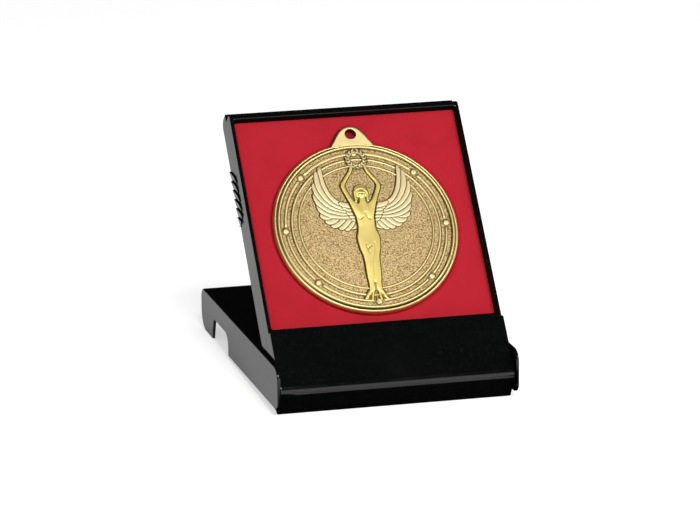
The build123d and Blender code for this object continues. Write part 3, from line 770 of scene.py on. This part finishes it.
def makeRelief(name, heightOf, shape, medal, figure, lowest=-0.18):
    # a height over a square grid, kept where it is above the lowest, with walls and a floor sunk in the field
    x0, x1, t0, t1 = shape["box"]
    across = np.arange(x0, x1, shape["step"])
    upward = np.arange(t0, t1, shape["step"])
    t, x = np.meshgrid(upward, across, indexing="ij")
    height, shadePaint = heightOf(x, t, shape)
    kept = height > lowest
    cells = kept[:-1, :-1] | kept[1:, :-1] | kept[:-1, 1:] | kept[1:, 1:]
    rows, columns = x.shape
    index = np.arange(rows * columns).reshape(rows, columns)
    corners = np.stack([index[:-1, :-1], index[:-1, 1:], index[1:, 1:], index[1:, :-1]], axis=-1)
    top = corners[cells]
    count = rows * columns
    padded = np.pad(cells, 1)
    inside = (slice(1, -1), slice(1, -1))
    walls = []
    for (dr, dc), (a, b) in (((-1, 0), (0, 1)), ((0, 1), (1, 2)), ((1, 0), (2, 3)), ((0, -1), (3, 0))):
        neighbour = np.roll(padded, (-dr, -dc), axis=(0, 1))[inside]
        rim = corners[cells & ~neighbour]
        walls.append(np.stack([rim[:, b], rim[:, a], rim[:, a] + count, rim[:, b] + count], axis=-1))
    faces = np.concatenate([top, top[:, ::-1] + count, *walls])
    used, compact = np.unique(faces, return_inverse=True)
    turn = radians(figure["turn"])
    flatX = x * cos(turn) - t * sin(turn) + figure["shift"]
    flatT = x * sin(turn) + t * cos(turn)
    base = np.where(np.hypot(flatX, flatT) < medal["channelStart"], medal["field"], medal["channel"])
    upper = base + np.maximum(height, -shape["sunk"] * 0.6)
    both = [np.concatenate([v.ravel(), v.ravel()]) for v in (flatX, flatT)]
    levels = np.concatenate([upper.ravel(), (base - shape["sunk"]).ravel()])
    points = onTray(both[0], both[1] + medal["centre"], levels + medal["seat"])[used]
    # painted shade from the relief's outlines and creases, on top and floor alike
    paintedShade = np.tile(np.clip(shadePaint, 0, 1).ravel(), 2)[used]
    polish = np.ones(len(used))
    return makePiece(name, points, compact.reshape(-1, 4), gold, "tray_body", (),
                     {"polish": polish * shape["rubbed"], "paintedShade": paintedShade, "warm": polish * shape["warm"]})


makeRelief("reliefFigure", figureHeight, figureShape, medalShape, figureShape)
makeRelief("reliefWings", wingsHeight, wingShape, medalShape, figureShape)
makeRelief("reliefWreath", wreathHeight, wreathShape, medalShape, figureShape)
print("relief made")

# The insert: a flocked sheet with the medal's seat pressed in, rolled over at its rim and at the seat
insertShape = {
    "halfWidth": 42.86, "start": 18.5, "end": 105.0, "corner": 0.9,
    "face": 3.4, "back": 1.45, "seatFloor": 2.2, "seatRadius": 35.15, "rimRoll": 1.4, "seatRoll": 1.7,
    "loopGap": 0.15, "segments": 720, "loopRays": (-0.26, 0.29, 80), "flatRings": 14, "leastFlat": 0.4,
    "floorShares": (0.35, 0.8, 1), "backShares": (1, 0.6, 0.2),  # rings of the seat's floor and of the back
}


def rectangleReach(angles, shape, centre):
    # how far each ray from the medal's middle runs to the rounded rectangle, by halving the bracket
    low, high = np.full(len(angles), 30.0), np.full(len(angles), 80.0)
    middleT = (shape["start"] + shape["end"]) / 2 - centre
    halfT = (shape["end"] - shape["start"]) / 2
    for _ in range(40):
        reach = (low + high) / 2
        qx = np.abs(reach * np.sin(angles)) - shape["halfWidth"] + shape["corner"]
        qt = np.abs(reach * np.cos(angles) - middleT) - halfT + shape["corner"]
        distance = np.hypot(np.clip(qx, 0, None), np.clip(qt, 0, None)) \
            + np.clip(np.maximum(qx, qt), None, 0) - shape["corner"]
        low, high = np.where(distance < 0, reach, low), np.where(distance < 0, high, reach)
    return low


def seatReach(angles, shape, loop):
    # a circle round the medal, and round its loop the loop's own outline with a small gap
    x, t = curveThrough(loop["flank"]).T
    turned = np.abs((angles - radians(loop["turn"]) + pi) % (2 * pi) - pi)
    roundLoop = np.interp(turned, np.arctan2(x, t), np.hypot(x, t) + shape["loopGap"])
    return np.maximum(shape["seatRadius"], roundLoop)


def makeInsert(shape, medal, loop):
    # rings from the seat's floor up its wall, over the roll, across the face, down the outer roll and under
    even = np.arange(shape["segments"]) * 2 * pi / shape["segments"]
    extra = np.linspace(*shape["loopRays"])  # closer rays at the loop
    angles = np.unique(np.round(np.concatenate([even, extra % (2 * pi)]), 6))
    seat, rim = seatReach(angles, shape, loop), rectangleReach(angles, shape, medal["centre"])
    face, roll, outer = shape["face"], shape["seatRoll"], shape["rimRoll"]
    bends = np.radians([0, 15, 30, 45, 60, 75, 90])
    rows = [(seat * share, shape["seatFloor"]) for share in shape["floorShares"]]
    rows += [(seat + roll * (1 - cos(b)), face - roll + roll * sin(b)) for b in bends]
    inner, border = seat + roll, rim - outer
    inner = np.minimum(inner, border - shape["leastFlat"])
    for share in np.linspace(0, 1, shape["flatRings"])[1:-1]:
        rows.append((inner + (border - inner) * share, face))
    rows += [(border + outer * sin(b), face - outer + outer * cos(b)) for b in bends]
    rows += [(rim * share, shape["back"]) for share in shape["backShares"]]
    reach = np.stack([line for line, _ in rows])
    height = np.repeat([[h] for _, h in rows], len(angles), axis=1)
    x = np.append((reach * np.sin(angles)).ravel(), [0, 0])
    t = np.append((reach * np.cos(angles)).ravel(), [0, 0]) + medal["centre"]
    n = np.append(height.ravel(), [shape["seatFloor"], shape["back"]])
    count = len(rows) * len(angles)
    faces = wrappedQuads(len(rows), len(angles))[:, ::-1]
    poles = [(count, 0, len(angles), -1), (count + 1, count - len(angles), len(angles), 1)]
    return makePiece("flockedInsert", onTray(x, t, n), faces, flock, "tray_body", ["insert"],
                     poles=poles)


makeInsert(insertShape, medalShape, loopShape)

for name in ("cover", "tray"):  # their shape is right as it is, so only the finish is new
    node = frame["nodes"][name]
    if not node.material_slots:
        node.data.materials.append(plastic[name])
    for place in node.material_slots:
        place.material = plastic[name]
print("case dressed")

# The studio: a white table with two soft lamps in front, left and right, in a dark room (metres, watts)
studio = {
    "floorRadius": 1.7, "floorRings": 26, "floorSpokes": 96, "fadeStart": 0.5, "fadeEnd": 1.3,
    "floorColour": "#E9E9E9",
    "floorLift": 0.55, "floorGloss": 0.06,  # what camera and gloss see besides the light on the table
    "leftFrom": (-0.03, -0.72, 0.69), "leftPower": 6.2, "rightFrom": (0.56, -0.58, 0.59), "rightPower": 3.2,
    "lampDistance": 1.1, "lampSize": 0.30, "lampColour": (1, 1, 0.98), "ambient": 0.38,
    "horizonTilt": 0.55, "duskStart": -0.24, "duskEnd": 0.12, "night": 0.003, "cardLift": 0.0002,
    # black sheets seen only in reflections, painted shade on the table under the case: left, right, front and
    # back edge
    "cards": [(-0.05, 0.05, -0.07, -0.049), (-0.05, -0.0355, -0.106, -0.07), (0.049, 0.062, -0.106, -0.07)],
    "cardColour": "#070707",
}
target = Vector((-0.002285, 0.0, 0.040147))


def mirrorRays(tree, rays):
    # 1 for the rays that gloss and glass send out
    return addNode(tree, "Math", {0: rays.outputs["Is Glossy Ray"], 1: rays.outputs["Is Transmission Ray"]},
                   operation="MAXIMUM").outputs["Value"]


def stageObject(name, points, faces, material):
    # something of the studio, which is no part of the object
    mesh = bpy.data.meshes.new(name)
    mesh.from_pydata(points, [], faces)
    mesh.materials.append(material)
    stood = bpy.data.objects.new(name, mesh)
    bpy.context.scene.collection.objects.link(stood)
    return stood


def makeFloor(settings):
    # rings (r cos a, r sin a, 0) about the origin, with a material that fades out before the edge
    count, spokes = settings["floorRings"], settings["floorSpokes"]
    rings = np.linspace(0.02, 1, count)[:, None] * settings["floorRadius"]
    angles = np.arange(spokes) * 2 * pi / spokes
    x, y = rings * np.cos(angles), rings * np.sin(angles)
    points = np.stack([x.ravel(), y.ravel(), np.zeros(x.size)], axis=-1)
    points = np.concatenate([points, [[0, 0, 0]]])
    faces = wrappedQuads(count, spokes).tolist()
    fan = [[len(points) - 1, i, (i + 1) % spokes] for i in range(spokes)]
    material, tree = newMaterial("mattWhiteTable")
    place = addNode(tree, "TexCoord").outputs["Object"]
    length = addNode(tree, "VectorMath", {0: place}, operation="LENGTH")
    fade = addNode(tree, "MapRange",
                   {"Value": length.outputs["Value"], "From Min": settings["fadeStart"],
                    "From Max": settings["fadeEnd"]}, interpolation_type="SMOOTHSTEP")
    rays = addNode(tree, "LightPath")
    tableTop = addNode(tree, "BsdfPrincipled", {"Base Color": linear(settings["floorColour"]),
                                                "Roughness": 0.9, "Specular IOR Level": 0.1})
    lift = addNode(tree, "Emission", {"Color": (1, 1, 1, 1)})
    mirrored = addNode(tree, "Math", {0: mirrorRays(tree, rays), 1: settings["floorGloss"]},
                       operation="MULTIPLY")
    amount = addNode(tree, "Math", {0: rays.outputs["Is Camera Ray"], 1: settings["floorLift"],
                                    2: mirrored.outputs["Value"]}, operation="MULTIPLY_ADD")
    tree.links.new(amount.outputs["Value"], lift.inputs["Strength"])
    lit = addNode(tree, "AddShader", {0: tableTop.outputs["BSDF"], 1: lift.outputs["Emission"]})
    clear = addNode(tree, "BsdfTransparent")
    surface = addNode(tree, "MixShader", {"Fac": fade.outputs["Result"], 1: lit.outputs["Shader"],
                                          2: clear.outputs["BSDF"]})
    addNode(tree, "OutputMaterial", {"Surface": surface.outputs["Shader"]})
    stageObject("studioFloor", points.tolist(), faces + fan, material)


def makeWorld(settings):
    # white for what the camera, gloss and glass see below a horizon that rises towards the front,
    # a dark room above it, and a plain grey light for the rest
    world = bpy.data.worlds.new("studioRoom")
    bpy.context.scene.world = world
    world.use_nodes = True
    tree = world.node_tree
    tree.nodes.clear()
    rays = addNode(tree, "LightPath")
    direction = addNode(tree, "TexCoord").outputs["Generated"]
    parts = addNode(tree, "SeparateXYZ", {0: direction})
    height = addNode(tree, "Math", {0: parts.outputs["Y"], 1: settings["horizonTilt"],
                                    2: parts.outputs["Z"]}, operation="MULTIPLY_ADD")
    dusk = addNode(tree, "MapRange",
                   {"Value": height.outputs["Value"], "From Min": settings["duskStart"],
                    "From Max": settings["duskEnd"], "To Min": 1.0, "To Max": settings["night"]},
                   interpolation_type="SMOOTHSTEP")
    seen = addNode(tree, "Math", {0: rays.outputs["Is Camera Ray"], 1: dusk.outputs["Result"]},
                   operation="MAXIMUM")
    shown = addNode(tree, "Math", {0: mirrorRays(tree, rays), 1: rays.outputs["Is Camera Ray"]},
                    operation="MAXIMUM")
    backdrop = addNode(tree, "Background", {"Color": (1, 1, 1, 1), "Strength": seen.outputs["Value"]})
    ambient = addNode(tree, "Background", {"Color": (1, 1, 1, 1), "Strength": settings["ambient"]})
    mixed = addNode(tree, "MixShader",
                    {"Fac": shown.outputs["Value"], 1: ambient.outputs["Background"],
                     2: backdrop.outputs["Background"]})
    addNode(tree, "OutputWorld", {"Surface": mixed.outputs["Shader"]})


def addLamp(name, direction, power, settings):
    # a round soft lamp that faces the object
    lamp = bpy.data.lights.new(name, "AREA")
    lamp.shape, lamp.size = "DISK", settings["lampSize"]
    lamp.energy, lamp.color = power, settings["lampColour"]
    holder = bpy.data.objects.new(name, lamp)
    towards = Vector(direction).normalized()
    holder.location = target + towards * settings["lampDistance"]
    holder.rotation_euler = towards.to_track_quat("Z", "Y").to_euler()
    bpy.context.scene.collection.objects.link(holder)


def makeShadeSheets(settings):
    # painted shade: black rectangles under the front edge and before the ears, which only the gloss sees, for
    # the shaded table there
    corners = [(x, y, settings["cardLift"]) for left, right, front, back in settings["cards"]
               for x, y in ((left, front), (right, front), (right, back), (left, back))]
    material, tree = newMaterial("reflectedShadeCard")
    finishMaterial(tree, {"Base Color": linear(settings["cardColour"]), "Roughness": 1.0,
                          "Specular IOR Level": 0.0})
    faces = np.arange(len(corners)).reshape(-1, 4).tolist()
    card = stageObject("reflectedShadeSheets", corners, faces, material)
    card.visible_camera = card.visible_diffuse = card.visible_shadow = False


makeFloor(studio)
makeShadeSheets(studio)
makeWorld(studio)
addLamp("leftLamp", studio["leftFrom"], studio["leftPower"], studio)
addLamp("rightLamp", studio["rightFrom"], studio["rightPower"], studio)

# The camera stands where the photograph was taken from: a long lens, a little above and to the left
view = {"azimuth": 14.901, "elevation": 15.959, "distance": 1.60366, "lens": 220.4, "sensor": 36.0}
camera = bpy.data.cameras.new("viewCamera")
camera.lens, camera.sensor_width, camera.sensor_fit = view["lens"], view["sensor"], "HORIZONTAL"
camera.clip_start, camera.clip_end = 0.05, 20.0
cameraHolder = bpy.data.objects.new("viewCamera", camera)
turn, rise = radians(view["azimuth"]), radians(view["elevation"])
backwards = Vector((-sin(turn) * cos(rise), -cos(turn) * cos(rise), sin(rise)))
cameraHolder.location = target + backwards * view["distance"]
cameraHolder.rotation_euler = (-backwards).to_track_quat("-Z", "Y").to_euler()
bpy.context.scene.collection.objects.link(cameraHolder)
bpy.context.scene.camera = cameraHolder
bpy.context.scene.view_settings.view_transform = "Standard"
print("studio and camera made")
